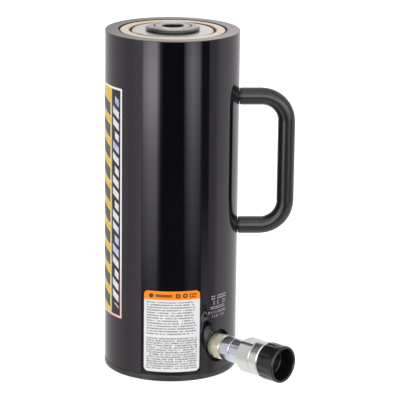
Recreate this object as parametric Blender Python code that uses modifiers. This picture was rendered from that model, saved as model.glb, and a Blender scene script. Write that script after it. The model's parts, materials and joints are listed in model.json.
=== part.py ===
"""Single-acting, spring-return hydraulic cylinder with an aluminium barrel, a carrying handle and a
quick coupler, modelled as an assembly.

Metres, +Z up. The origin is the centre of the base plate's underside, so +Z runs along the plunger's
axis. The handle stands out along +X. The coupler leaves the barrel at -45 degrees in plan, half way
between +X and -Y.

Sections below are written in millimetres as (radius, height) pairs and turned about +Z. The coupler's
sections are written the same way, with the height measured from the barrel's axis along the coupler's
own axis, and are then laid down onto that axis.
"""

import math

import bmesh
import bpy
from mathutils import Matrix, Vector

MM = 0.001

# ---------------------------------------------------------------- driving dimensions, millimetres
BARREL_R = 65.5          # outside radius, 131 mm across
BARREL_TOP = 338.0       # top face of the barrel above the floor
PLATE_T = 6.0            # steel base plate
GAP = 0.3                # between faces that touch on the real object
BORE_R = 47.5            # 95 mm bore
BORE_FLOOR = 20.0
RING_R = 51.0            # stop ring thread
RING_BOTTOM = 292.3
RING_TOP = 337.7
ROD_R = 40.0             # 80 mm plunger
HEAD_R = 47.2
HEAD_TOP = 92.0
STROKE = 200.0
PLUNGER_TOP = 337.5
PLUNGER_HOLLOW_R = 29.0
SADDLE_R = 26.5
SADDLE_TOP = 341.6

HANDLE_ROD_R = 8.5
HANDLE_X = 112.5         # centre line of the grip
HANDLE_Z = (141.4, 271.8)  # centre lines of the legs
HANDLE_BEND = 25.0
STUD_R = 5.0

PORT_Z = 31.0            # height of the coupler's axis
PORT_AZIMUTH = -45.0     # degrees in plan from +X
SPOTFACE_R = 16.5
SPOTFACE_S = 58.0        # how far the spot face's floor is from the barrel's axis
THREAD_R = 8.3

SPRING_R = 22.5          # mean radius of the return spring
SPRING_WIRE = 2.5
SPRING_Z = (27.6, 302.4)
SPRING_TURNS = 21

SCREW_CIRCLE = 50.0

# ---------------------------------------------------------------- scene
for old in list(bpy.data.objects):
    bpy.data.objects.remove(old, do_unlink=True)

PARTS = bpy.data.collections.new("hydraulic_cylinder")
CUTTERS = bpy.data.collections.new("cutters")
bpy.context.scene.collection.children.link(PARTS)
bpy.context.scene.collection.children.link(CUTTERS)


def material(name, colour, roughness, metallic):
    m = bpy.data.materials.new(name)
    m.use_nodes = True
    shader = m.node_tree.nodes["Principled BSDF"]
    shader.inputs["Base Color"].default_value = (*colour, 1.0)
    shader.inputs["Roughness"].default_value = roughness
    shader.inputs["Metallic"].default_value = metallic
    m.diffuse_color = (*colour, 1.0)
    return m


MAT = {
    "hardcoat": material("hardcoat_aluminium", (0.055, 0.055, 0.060), 0.33, 0.75),
    "plate": material("blackened_steel", (0.070, 0.070, 0.072), 0.45, 0.60),
    "ring": material("yellow_chromate_steel", (0.72, 0.58, 0.30), 0.32, 1.0),
    "machined": material("machined_aluminium", (0.62, 0.62, 0.62), 0.35, 1.0),
    "saddle": material("hardened_steel", (0.36, 0.36, 0.37), 0.40, 1.0),
    "handle": material("black_handle_steel", (0.030, 0.031, 0.033), 0.38, 0.30),
    "zinc": material("bright_zinc", (0.74, 0.77, 0.80), 0.22, 1.0),
    "olive": material("yellow_zinc", (0.66, 0.64, 0.50), 0.30, 1.0),
    "cap": material("black_moulded_plastic", (0.020, 0.020, 0.022), 0.35, 0.0),
    "seal": material("black_rubber", (0.018, 0.018, 0.018), 0.60, 0.0),
    "urethane": material("blue_polyurethane", (0.05, 0.12, 0.34), 0.45, 0.0),
    "bearing": material("brown_composite", (0.26, 0.16, 0.08), 0.60, 0.0),
    "spring": material("oiled_spring_steel", (0.16, 0.16, 0.17), 0.40, 0.9),
    "screw": material("black_oxide_screw", (0.045, 0.045, 0.047), 0.40, 0.8),
    "side_decal": material("side_decal_print", (0.85, 0.62, 0.06), 0.40, 0.0),
    "info_label": material("info_label_print", (0.82, 0.82, 0.80), 0.45, 0.0),
}


# ---------------------------------------------------------------- helpers
def frame_of(obj, loc, rot):
    obj.location = loc
    obj.rotation_euler = rot
    return obj


COUPLER_LOC = (0.0, 0.0, PORT_Z * MM)
COUPLER_ROT = (0.0, math.radians(90), math.radians(PORT_AZIMUTH))
UPRIGHT = ((0.0, 0.0, 0.0), (0.0, 0.0, 0.0))
COUPLER = (COUPLER_LOC, COUPLER_ROT)


def baked(obj):
    """The object's evaluated mesh, shaded smooth with its corners kept sharp."""
    bpy.context.view_layer.update()
    graph = bpy.context.evaluated_depsgraph_get()
    mesh = bpy.data.meshes.new_from_object(obj.evaluated_get(graph))
    mesh.shade_smooth()
    mesh.set_sharp_from_angle(angle=math.radians(32))
    return mesh


def link(name, mesh, mat, where=UPRIGHT, cutter=False):
    obj = bpy.data.objects.new(name, mesh)
    (CUTTERS if cutter else PARTS).objects.link(obj)
    frame_of(obj, *where)
    if cutter:
        obj.hide_render = True
        obj.display_type = "WIRE"
    else:
        mesh.materials.clear()
        mesh.materials.append(MAT[mat])
        mesh.name = name
    return obj


def turned(name, section, mat=None, steps=64, where=UPRIGHT, cutter=False):
    """A turned piece: the section, in millimetres, revolved with a Screw modifier."""
    area = sum(
        a[0] * b[1] - b[0] * a[1] for a, b in zip(section, section[1:] + section[:1])
    )
    points = section if area < 0 else section[::-1]
    closed = all(r > 1e-6 for r, _ in points)
    if not closed:  # an open section starts and ends on the axis
        while not (points[0][0] < 1e-6 and points[-1][0] < 1e-6):
            points = points[1:] + points[:1]
    count = len(points)
    edges = [(i, i + 1) for i in range(count - 1)] + ([(count - 1, 0)] if closed else [])
    mesh = bpy.data.meshes.new(name + "_section")
    mesh.from_pydata([(r * MM, 0.0, z * MM) for r, z in points], edges, [])
    helper = bpy.data.objects.new(name + "_section", mesh)
    CUTTERS.objects.link(helper)
    screw = helper.modifiers.new("turn", "SCREW")
    screw.axis = "Z"
    screw.angle = math.tau
    screw.steps = steps
    screw.render_steps = steps
    screw.use_merge_vertices = True
    screw.merge_threshold = 0.00001
    screw.use_smooth_shade = True
    made = baked(helper)
    bpy.data.objects.remove(helper, do_unlink=True)
    return link(name, made, mat, where, cutter)


def prism(name, sides, radius, z0, z1, mat=None, where=UPRIGHT, cutter=False, turn=0.0, xy=(0, 0)):
    """A straight prism or drill: a cone primitive of equal radii between two heights."""
    bm = bmesh.new()
    bmesh.ops.create_cone(
        bm,
        cap_ends=True,
        cap_tris=False,
        segments=sides,
        radius1=radius * MM,
        radius2=radius * MM,
        depth=(z1 - z0) * MM,
        matrix=Matrix.Translation((xy[0] * MM, xy[1] * MM, (z0 + z1) / 2 * MM))
        @ Matrix.Rotation(turn, 4, "Z"),
    )
    mesh = bpy.data.meshes.new(name)
    bm.to_mesh(mesh)
    bm.free()
    if sides > 8:
        mesh.shade_smooth()
        mesh.set_sharp_from_angle(angle=math.radians(32))
    return link(name, mesh, mat, where, cutter)


def boolean(target, cutter, operation="DIFFERENCE"):
    m = target.modifiers.new(cutter.name, "BOOLEAN")
    m.operation = operation
    m.solver = "EXACT"
    m.object = cutter
    return m


def torus(name, major, minor, z, mat, where=UPRIGHT, steps=32, sides=10):
    ring = [
        (major + minor * math.cos(t), z + minor * math.sin(t))
        for t in (math.tau * i / sides for i in range(sides))
    ]
    return turned(name, ring, mat, steps, where)


def wire(name, points, radius, mat, sides_level=2, where=UPRIGHT):
    """A round wire along points in millimetres, as a mesh with welded caps."""
    curve = bpy.data.curves.new(name, "CURVE")
    curve.dimensions = "3D"
    curve.bevel_depth = radius * MM
    curve.bevel_resolution = sides_level
    curve.use_fill_caps = True
    spline = curve.splines.new("POLY")
    spline.points.add(len(points) - 1)
    for point, co in zip(spline.points, points):
        point.co = (co[0] * MM, co[1] * MM, co[2] * MM, 1.0)
    helper = bpy.data.objects.new(name + "_path", curve)
    CUTTERS.objects.link(helper)
    mesh = baked(helper)
    bm = bmesh.new()
    bm.from_mesh(mesh)
    bmesh.ops.remove_doubles(bm, verts=bm.verts, dist=0.00001)
    bmesh.ops.recalc_face_normals(bm, faces=bm.faces)
    bm.to_mesh(mesh)
    bm.free()
    mesh.shade_smooth()
    mesh.set_sharp_from_angle(angle=math.radians(50))
    bpy.data.objects.remove(helper, do_unlink=True)
    return link(name, mesh, mat, where)


def coil(mean_r, z0, z1, turns, per_turn, closed_turns=1.0, wire_r=1.0):
    """Points of a coil whose end turns lie close together, as a ground or threaded-on end does."""
    total = turns * per_turn
    close = closed_turns * wire_r * 2.15
    open_pitch = (z1 - z0 - 2 * close) / (turns - 2 * closed_turns)
    points = []
    for i in range(total + 1):
        t = i / per_turn
        if t < closed_turns:
            z = z0 + close * t / closed_turns
        elif t > turns - closed_turns:
            z = z1 - close * (turns - t) / closed_turns
        else:
            z = z0 + close + open_pitch * (t - closed_turns)
        a = math.tau * t
        points.append((mean_r * math.cos(a), mean_r * math.sin(a), z))
    return points


def wrapped_sheet(name, radius, thickness, arc0, arc1, z0, z1, corner, mat, columns):
    """A printed sheet wrapped on the barrel: arc0 and arc1 are plan angles in degrees, corner its corner radius."""
    bm = bmesh.new()
    bmesh.ops.create_grid(bm, x_segments=columns, y_segments=1, size=0.5)
    width = math.radians(arc1 - arc0) * radius
    for v in bm.verts:
        u = v.co.x + 0.5
        # end columns crowd into the rounded corners
        u = 0.5 - 0.5 * math.cos(math.pi * u) if corner else u
        edge = min(u, 1 - u) * width
        inset = 0.0
        if corner and edge < corner:
            inset = corner - math.sqrt(max(0.0, corner**2 - (corner - edge) ** 2))
        z = z0 + inset if v.co.y < 0 else z1 - inset
        a = math.radians(arc0) + u * math.radians(arc1 - arc0)
        v.co = Vector((radius * math.cos(a), radius * math.sin(a), z)) * MM
    bmesh.ops.recalc_face_normals(bm, faces=bm.faces)
    if sum((f.normal.dot(f.calc_center_median()) for f in bm.faces)) < 0:
        bmesh.ops.reverse_faces(bm, faces=bm.faces)
    mesh = bpy.data.meshes.new(name)
    bm.to_mesh(mesh)
    bm.free()
    obj = link(name, mesh, mat)
    solid = obj.modifiers.new("thickness", "SOLIDIFY")
    solid.thickness = thickness * MM
    solid.offset = 1.0
    return obj


# ---------------------------------------------------------------- barrel
barrel = turned(
    "cylinder_body",
    [
        (6.2, BORE_FLOOR), (BORE_R, BORE_FLOOR), (BORE_R, RING_BOTTOM - 0.3), (RING_R + 0.3, RING_BOTTOM - 0.3),
        (RING_R + 0.3, 334.6), (53.0, 335.2), (53.0, BARREL_TOP), (BARREL_R - 0.7, BARREL_TOP), (BARREL_R, BARREL_TOP - 0.7),
        (BARREL_R, PLATE_T + GAP), (0.0, PLATE_T + GAP), (0.0, 10.0), (6.2, 10.0),
    ],
    "hardcoat",
    60,
)
spotface = prism("cut_spotface", 36, SPOTFACE_R, SPOTFACE_S, 80, where=COUPLER, cutter=True)
port = prism("cut_port", 24, THREAD_R + 0.3, 40, 62, where=COUPLER, cutter=True)
boolean(barrel, spotface)
boolean(barrel, port)
for i, z in enumerate(HANDLE_Z):
    socket = prism(
        f"cut_handle_socket_{i + 1}", 20, STUD_R + 0.3, 54.0, 72.0,
        where=((0, 0, z * MM), (0, math.radians(90), 0)), cutter=True,
    )
    boolean(barrel, socket)

plate = turned(
    "base_plate",
    [(0.0, 0.0), (BARREL_R - 0.8, 0.0), (BARREL_R, 0.8), (BARREL_R, PLATE_T - 0.6), (BARREL_R - 0.6, PLATE_T), (0.0, PLATE_T)],
    "plate",
    60,
)
for i in range(4):
    a = math.radians(45 + 90 * i)
    xy = (SCREW_CIRCLE * math.cos(a), SCREW_CIRCLE * math.sin(a))
    at = ((xy[0] * MM, xy[1] * MM, 0.0), (0.0, 0.0, 0.0))
    sink = turned(
        f"cut_countersink_{i + 1}",
        [(0, -2), (6.7, -2), (6.7, 0.1), (3.5, 3.9), (3.5, 8), (0, 8)], None, 16, at, True,
    )
    boolean(plate, sink)
    boolean(barrel, prism(f"cut_tapped_{i + 1}", 16, 3.4, 2.0, 18.5, where=at, cutter=True))
    screw = turned(
        f"base_screw_{i + 1}",
        [(0, 0.5), (5.7, 0.5), (5.7, 0.8), (3.0, 3.6), (3.0, 16.8), (2.4, 17.6), (0, 17.6)], "screw", 16, at,
    )
    boolean(screw, prism(f"cut_hex_{i + 1}", 6, 2.3, -1.0, 3.0, where=at, cutter=True))

# ---------------------------------------------------------------- stop ring and what it carries
turned(
    "stop_ring",
    [
        (RING_R, RING_BOTTOM), (RING_R, RING_TOP - 0.5), (RING_R - 0.5, RING_TOP), (42.6, RING_TOP),
        (42.2, 335.9), (43.6, 335.9), (43.6, 329.7), (40.6, 329.7), (40.6, 325.0), (42.2, 325.0), (42.2, 297.6),
        (40.6, 297.6), (40.6, RING_BOTTOM),
    ],
    "ring",
    48,
)
ring_bearing = turned("ring_bearing", [(40.3, 298.0), (41.9, 298.0), (41.9, 324.6), (40.3, 324.6)], "bearing", 44)
turned(
    "rod_wiper",
    [(40.6, 330.2), (43.3, 330.2), (43.3, 335.4), (41.8, 335.4), (41.8, 336.4), (41.2, 337.0), (40.3, 337.0), (40.3, 333.0)],
    "seal",
    44,
)

# ---------------------------------------------------------------- plunger with its head and seals
plunger = turned(
    "plunger",
    [
        (PLUNGER_HOLLOW_R, BORE_FLOOR + 0.3), (44.0, BORE_FLOOR + 0.3), (44.0, 42.0), (HEAD_R, 43.5),
        (HEAD_R, 48.0), (41.5, 48.0), (41.5, 58.0), (HEAD_R, 58.0), (HEAD_R, 66.0), (45.2, 66.0), (45.2, 86.0),
        (HEAD_R, 86.0), (HEAD_R, HEAD_TOP - 1.0), (HEAD_R - 1.0, HEAD_TOP), (ROD_R, HEAD_TOP), (ROD_R, PLUNGER_TOP - 1.2),
        (ROD_R - 1.2, PLUNGER_TOP), (15.8, PLUNGER_TOP), (15.8, 325.6), (0.0, 325.6), (0.0, 320.0),
        (6.2, 320.0), (6.2, 310.0), (PLUNGER_HOLLOW_R, 310.0),
    ],
    "machined",
    44,
)
# slots across the plunger's foot let the oil under it when it stands on the bore's floor
for i in range(2):
    boolean(plunger, prism(
        f"cut_oil_slot_{i + 1}", 4, 6.0, -60.0, 60.0, cutter=True, turn=0.0,
        where=((0, 0, (BORE_FLOOR - 0.5) * MM), (math.radians(90), 0, math.radians(PORT_AZIMUTH + 90 + 90 * i))),
    ))
turned("piston_u_cup",
       [(41.8, 48.4), (43.2, 48.4), (44.0, 51.6), (45.2, 51.6), (46.0, 48.4), (47.25, 48.4), (47.1, 54.4), (41.8, 54.4)],
       "urethane", 36)
turned("backup_ring", [(41.8, 54.8), (47.15, 54.8), (47.15, 57.6), (41.8, 57.6)], "bearing", 36)
piston_bearing = turned("piston_bearing", [(45.5, 66.4), (47.28, 66.4), (47.28, 85.6), (45.5, 85.6)], "bearing", 40)
for name, band, z0, z1, r in (("piston", piston_bearing, 60, 92, 46.5), ("ring", ring_bearing, 290, 330, 41.0)):
    boolean(band, prism(
        f"cut_{name}_bearing_split", 4, 1.3, z0 - 10, z1 + 10, cutter=True, turn=math.radians(45),
        where=((0.0, r * MM, 0.0), (0.0, 0.0, 0.0)),
    ))

# ---------------------------------------------------------------- return spring and its two anchors
turned(
    "spring_anchor_lower",
    [(0, 10.6), (5.2, 10.6), (5.8, 11.2), (5.8, 20.3), (26.0, 20.3), (26.0, 24.0), (17.4, 24.0), (17.4, 37.0), (16.0, 38.5), (0, 38.5)],
    "spring", 24,
)
turned(
    "spring_anchor_upper",
    [(0, 319.4), (5.2, 319.4), (5.8, 318.8), (5.8, 309.7), (26.0, 309.7), (26.0, 306.0), (17.4, 306.0), (17.4, 293.0), (16.0, 291.5), (0, 291.5)],
    "spring", 24,
)
wire("return_spring", coil(SPRING_R, *SPRING_Z, SPRING_TURNS, 8, 2.0, SPRING_WIRE), SPRING_WIRE, "spring", 1)

# ---------------------------------------------------------------- saddle
turned(
    "saddle",
    [
        (10.8, 326.0), (14.8, 326.0), (15.3, 326.5), (15.3, 330.6), (13.4, 330.6), (13.4, 333.6), (15.3, 333.6), (15.3, 337.8),
        (24.9, 337.8), (SADDLE_R, 338.8), (SADDLE_R, 339.6), (22.9, SADDLE_TOP), (18.9, SADDLE_TOP), (18.6, 340.3),
        (17.3, 340.3), (17.0, SADDLE_TOP), (11.4, SADDLE_TOP), (10.8, 341.0),
    ],
    "saddle",
    36,
)
torus("saddle_o_ring", 14.62, 0.95, 332.1, "seal", steps=24, sides=6)

# ---------------------------------------------------------------- handle
def handle_path():
    z0, z1 = HANDLE_Z
    x, b = HANDLE_X, HANDLE_BEND
    start = BARREL_R + GAP
    points = [(start, 0, z1), (start + 12, 0, z1)]
    for i in range(8):
        a = math.radians(90 - 90 * i / 7)
        points.append((x - b + b * math.cos(a), 0, z1 - b + b * math.sin(a)))
    for i in range(8):
        a = math.radians(0 - 90 * i / 7)
        points.append((x - b + b * math.cos(a), 0, z0 + b + b * math.sin(a)))
    points += [(start + 12, 0, z0), (start, 0, z0)]
    return points


handle = wire("handle", handle_path(), HANDLE_ROD_R, "handle", 4)
for i, (z, word) in enumerate(zip(HANDLE_Z, ("lower", "upper"))):
    at = ((0, 0, z * MM), (0, math.radians(90), 0))
    boolean(handle, prism(f"cut_leg_{word}", 20, STUD_R + 0.3, 60.0, 79.0, where=at, cutter=True))
    turned(
        f"handle_stud_{word}",
        [(0, 54.3), (4.4, 54.3), (STUD_R, 55.0), (STUD_R, 77.9), (4.4, 78.6), (0, 78.6)], "screw", 20, at,
    )

# ---------------------------------------------------------------- coupler, along its own axis
def hex_flats(name, corner_r, z0, z1, turn):
    """A hexagonal tube that leaves six flats on whatever turned shoulder it is cut from."""
    tube = turned(name, [(corner_r, z0), (30.0, z0), (30.0, z1), (corner_r, z1)], None, 6, COUPLER, True)
    tube.data.transform(Matrix.Rotation(math.radians(turn), 4, "Z"))
    return tube


nipple = turned(
    "coupler_nipple",
    [
        (4.5, 48.5), (7.4, 48.5), (THREAD_R, 49.6), (THREAD_R, 59.0), (7.6, 59.6), (7.6, 60.6), (11.2, 60.6), (11.2, 67.0),
        (12.0, 67.0), (13.3, 68.0), (13.3, 75.0), (12.0, 76.0), (THREAD_R, 76.0), (THREAD_R, 83.6), (7.6, 84.3), (4.5, 84.3),
    ],
    "olive", 24, COUPLER,
)
boolean(nipple, hex_flats("cut_nipple_flats", 13.6, 66.0, 77.0, 13.0))

turned(
    "coupler_rear_body",
    [
        (5.0, 84.7), (THREAD_R + 0.3, 84.7), (THREAD_R + 0.3, 76.4), (11.4, 76.4), (12.2, 77.2), (12.2, 87.2),
        (11.8, 87.8), (10.0, 87.8), (10.0, 95.5), (9.2, 96.2), (7.6, 96.2), (7.6, 92.0), (5.0, 92.0),
    ],
    "zinc", 24, COUPLER,
)
turned(
    "coupler_front_body",
    [
        (10.3, 88.1), (11.8, 88.1), (12.2, 88.6), (12.2, 109.6), (14.0, 109.6), (14.0, 112.6), (12.2, 112.6), (12.2, 120.4),
        (11.4, 121.2), (5.0, 121.2), (5.0, 118.4), (7.6, 115.8), (7.6, 96.6), (10.3, 96.6),
    ],
    "zinc", 24, COUPLER,
)
turned(
    "coupler_poppet",
    [
        (0.0, 106.0), (3.4, 106.0), (3.4, 110.6), (6.9, 110.6), (6.9, 111.4), (5.6, 111.4), (5.6, 113.2), (6.9, 113.2),
        (6.9, 115.4), (4.4, 117.9), (4.4, 120.4), (3.4, 120.9), (0.0, 120.9),
    ],
    "zinc", 24, COUPLER,
)
torus("poppet_seal", 6.5, 0.72, 112.3, "seal", COUPLER, steps=18, sides=6)
wire("poppet_spring", coil(5.3, 93.0, 109.7, 6, 8, 1.0, 0.55), 0.55, "spring", 1, COUPLER)

collar = turned(
    "coupler_collar",
    [
        (12.6, 101.6), (15.4, 101.6), (17.25, 103.2), (17.25, 127.9), (16.6, 128.6), (15.4, 128.6), (14.8, 127.9),
        (14.8, 114.0), (14.3, 113.5), (14.3, 109.2), (12.6, 109.2),
    ],
    "zinc", 30, COUPLER,
)
boolean(collar, hex_flats("cut_collar_flats", 18.1, 101.0, 117.6, 33.0))

# ---------------------------------------------------------------- dust cap
CAP_FLUTES = 16


cap = turned(
    "dust_cap",
    [
        (12.7, 115.0), (14.0, 115.0), (14.4, 115.5), (14.4, 129.0), (16.8, 129.0), (18.2, 130.6), (18.2, 148.4),
        (17.6, 149.2), (15.9, 149.2), (15.3, 148.4), (14.6, 133.0), (3.0, 132.4), (2.4, 137.0), (0.0, 137.4), (0.0, 129.4),
        (4.0, 129.0), (12.7, 129.0),
    ],
    "cap", 30, COUPLER,
)
for i in range(CAP_FLUTES):
    a = math.tau * (i + 0.5) / CAP_FLUTES
    boolean(cap, prism(
        f"cut_flute_{i + 1}", 6, 1.6, 131.2, 143.5, cutter=True, turn=0.0, where=COUPLER,
        xy=(19.2 * math.cos(a), 19.2 * math.sin(a)),
    ))

# ---------------------------------------------------------------- printed sheets on the barrel
wrapped_sheet("side_decal", BARREL_R + 0.25, 0.2, -185.8, -139.0, 57.7, 287.7, 0.0, "side_decal", 9)
wrapped_sheet("info_label", BARREL_R + 0.25, 0.2, -115.0, -66.1, 10.2, 92.4, 4.6, "info_label", 12)
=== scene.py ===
import json
import math

import bmesh
import bpy
from mathutils import Euler, Matrix, Vector


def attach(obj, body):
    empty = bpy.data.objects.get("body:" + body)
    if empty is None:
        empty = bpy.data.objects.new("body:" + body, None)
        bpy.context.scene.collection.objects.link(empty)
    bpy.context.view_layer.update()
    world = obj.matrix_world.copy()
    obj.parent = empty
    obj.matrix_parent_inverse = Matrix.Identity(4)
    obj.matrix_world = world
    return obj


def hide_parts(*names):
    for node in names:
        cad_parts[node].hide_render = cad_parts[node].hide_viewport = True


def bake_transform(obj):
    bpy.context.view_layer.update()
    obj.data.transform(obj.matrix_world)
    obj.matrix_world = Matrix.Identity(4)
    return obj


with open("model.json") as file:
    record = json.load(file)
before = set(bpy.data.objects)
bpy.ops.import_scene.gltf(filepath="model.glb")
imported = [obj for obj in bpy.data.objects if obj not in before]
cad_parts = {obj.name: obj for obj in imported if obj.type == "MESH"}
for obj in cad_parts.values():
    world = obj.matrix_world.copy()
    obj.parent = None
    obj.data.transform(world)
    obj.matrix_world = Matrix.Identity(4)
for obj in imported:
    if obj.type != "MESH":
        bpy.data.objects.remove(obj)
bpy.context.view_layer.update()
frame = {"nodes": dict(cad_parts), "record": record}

MM = 0.001
BARREL_R = 65.5
HANDLE_Z = (141.4, 271.8)
UPRIGHT = Matrix.Identity(4)
COUPLER = Matrix.Translation((0, 0, 0.031)) @ Euler((0, math.radians(90), math.radians(-45))).to_matrix().to_4x4()

# ================================================================ shader expressions


class E:
    """A value inside a node tree that can be added, multiplied and compared like a number."""

    def __init__(self, tree, socket):
        self.tree = tree
        self.socket = socket

    def _op(self, kind, *others):
        return math_node(self.tree, kind, self, *others)

    def __add__(self, o):
        return self._op("ADD", o)

    def __radd__(self, o):
        return self._op("ADD", o)

    def __sub__(self, o):
        return self._op("SUBTRACT", o)

    def __rsub__(self, o):
        return math_node(self.tree, "SUBTRACT", o, self)

    def __mul__(self, o):
        return self._op("MULTIPLY", o)

    def __rmul__(self, o):
        return self._op("MULTIPLY", o)

    def __truediv__(self, o):
        return self._op("DIVIDE", o)

    def above(self, o):
        return self._op("GREATER_THAN", o)

    def below(self, o):
        return self._op("LESS_THAN", o)

    def floor(self):
        return self._op("FLOOR")

    def fract(self):
        return self._op("FRACT")

    def abs(self):
        return self._op("ABSOLUTE")

    def within(self, lo, hi):
        return self.above(lo) * self.below(hi)

    def maximum(self, o):
        return self._op("MAXIMUM", o)

    def minimum(self, o):
        return self._op("MINIMUM", o)


def put(tree, value, socket):
    if isinstance(value, E):
        tree.links.new(value.socket, socket)
    else:
        socket.default_value = value


def math_node(tree, kind, *args, clamp=False):
    n = tree.nodes.new("ShaderNodeMath")
    n.operation = kind
    n.use_clamp = clamp
    for value, socket in zip(args, n.inputs):
        put(tree, value, socket)
    return E(tree, n.outputs[0])


def clamped(e, lo=0.0, hi=1.0):
    return e.maximum(lo).minimum(hi)


def smooth(e, lo, hi):
    """0 below lo, 1 above hi, with a soft step between."""
    n = e.tree.nodes.new("ShaderNodeMapRange")
    n.interpolation_type = "SMOOTHSTEP"
    put(e.tree, e, n.inputs["Value"])
    n.inputs["From Min"].default_value = lo
    n.inputs["From Max"].default_value = hi
    return E(e.tree, n.outputs["Result"])


def split(tree, vector_socket):
    n = tree.nodes.new("ShaderNodeSeparateXYZ")
    tree.links.new(vector_socket, n.inputs[0])
    return [E(tree, s) for s in n.outputs]


def join(tree, x, y, z):
    n = tree.nodes.new("ShaderNodeCombineXYZ")
    for value, socket in zip((x, y, z), n.inputs):
        put(tree, value, socket)
    return n.outputs[0]


def noise(tree, vector, scale=1.0, detail=2.0, w=None, rough=0.5):
    n = tree.nodes.new("ShaderNodeTexNoise")
    n.inputs["Scale"].default_value = scale
    n.inputs["Detail"].default_value = detail
    n.inputs["Roughness"].default_value = rough
    tree.links.new(vector, n.inputs["Vector"])
    if w is not None:
        n.noise_dimensions = "4D"
        put(tree, w, n.inputs["W"])
    return E(tree, n.outputs[0])


def white_noise(tree, x, y=0.0, z=0.0):
    n = tree.nodes.new("ShaderNodeTexWhiteNoise")
    n.noise_dimensions = "3D"
    tree.links.new(join(tree, x, y, z), n.inputs["Vector"])
    return E(tree, n.outputs["Value"])


def blend_colour(tree, fac, a, b):
    """a where fac is 0 and b where it is 1. a and b are colours or colour sockets."""
    n = tree.nodes.new("ShaderNodeMix")
    n.data_type = "RGBA"
    put(tree, fac, n.inputs[0])
    for value, socket in ((a, n.inputs[6]), (b, n.inputs[7])):
        if isinstance(value, (tuple, list)):
            socket.default_value = (*value[:3], 1.0)
        else:
            tree.links.new(value, socket)
    return n.outputs[2]


def object_xyz(tree):
    """Object coordinates in millimetres."""
    n = tree.nodes.new("ShaderNodeTexCoord")
    x, y, z = split(tree, n.outputs["Object"])
    return x * 1000.0, y * 1000.0, z * 1000.0


def uv(tree):
    n = tree.nodes.new("ShaderNodeUVMap")
    n.uv_map = "print"
    x, y, _ = split(tree, n.outputs[0])
    return x, y


def new_material(name, roughness=0.4, metallic=0.0, ior=1.5, coat=0.0, coat_rough=0.1, specular_tint=None):
    m = bpy.data.materials.new(name)
    m.use_nodes = True
    tree = m.node_tree
    shader = tree.nodes["Principled BSDF"]
    shader.inputs["Roughness"].default_value = roughness
    shader.inputs["Metallic"].default_value = metallic
    shader.inputs["IOR"].default_value = ior
    if coat:
        shader.inputs["Coat Weight"].default_value = coat
        shader.inputs["Coat Roughness"].default_value = coat_rough
    if specular_tint:
        shader.inputs["Specular Tint"].default_value = (*specular_tint, 1.0)
    return m, tree, shader


def bump(tree, shader, height, distance_mm, strength=1.0):
    n = tree.nodes.new("ShaderNodeBump")
    n.inputs["Strength"].default_value = strength
    n.inputs["Distance"].default_value = distance_mm * MM
    put(tree, height, n.inputs["Height"])
    tree.links.new(n.outputs[0], shader.inputs["Normal"])


def turning(tree, across=6.0, around=1.5, detail=2.0):
    """Marks a lathe tool leaves: fine across the cut, long around the axis. across is in marks per millimetre."""
    x, y, z = object_xyz(tree)
    r = math_node(tree, "SQRT", x * x + y * y)
    safe = r.maximum(0.01)
    return noise(tree, join(tree, r * across, x / safe * around, y / safe * around), 1.0, detail, z * across)


def turned_metal(name, colour, roughness, metallic=1.0, across=5.0, depth=0.004, spread=0.12, tone=0.12, ior=1.5,
                 tint=None, tint_amount=0.0, around=1.2):
    m, tree, shader = new_material(name, roughness, metallic, ior)
    fine = turning(tree, across, around)
    coarse = turning(tree, across * 0.22, around * 0.8, 3.0)
    x, y, z = object_xyz(tree)
    cloud = noise(tree, join(tree, x, y, z), 0.07, 4.0)
    darker = tuple(c * (1 - tone) for c in colour)
    shade = clamped(fine * 0.45 + coarse * 0.55)
    col = blend_colour(tree, shade, darker, colour)
    if tint:
        col = blend_colour(tree, smooth(cloud, 0.42, 0.68) * tint_amount, col, tint)
    tree.links.new(col, shader.inputs["Base Color"])
    put(tree, clamped(roughness + (fine - 0.5) * spread + (cloud - 0.5) * spread, 0.03, 1.0), shader.inputs["Roughness"])
    bump(tree, shader, fine * 0.6 + coarse * 0.4, depth)
    return m


def moulded(name, colour, roughness, grain=2.5, depth=0.01, ior=1.5, spread=0.15, metallic=0.0, tone=0.25, coat=0.0):
    m, tree, shader = new_material(name, roughness, metallic, ior, coat, 0.15)
    x, y, z = object_xyz(tree)
    place = join(tree, x, y, z)
    fine = noise(tree, place, grain, 2.0)
    cloud = noise(tree, place, 0.12, 4.0)
    lighter = tuple(min(1.0, c * (1 + tone) + 0.002) for c in colour)
    tree.links.new(blend_colour(tree, cloud, colour, lighter), shader.inputs["Base Color"])
    put(tree, clamped(roughness + (cloud - 0.5) * spread + (fine - 0.5) * spread * 0.4, 0.05, 1.0), shader.inputs["Roughness"])
    bump(tree, shader, fine, depth)
    return m


# ================================================================ materials


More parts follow.
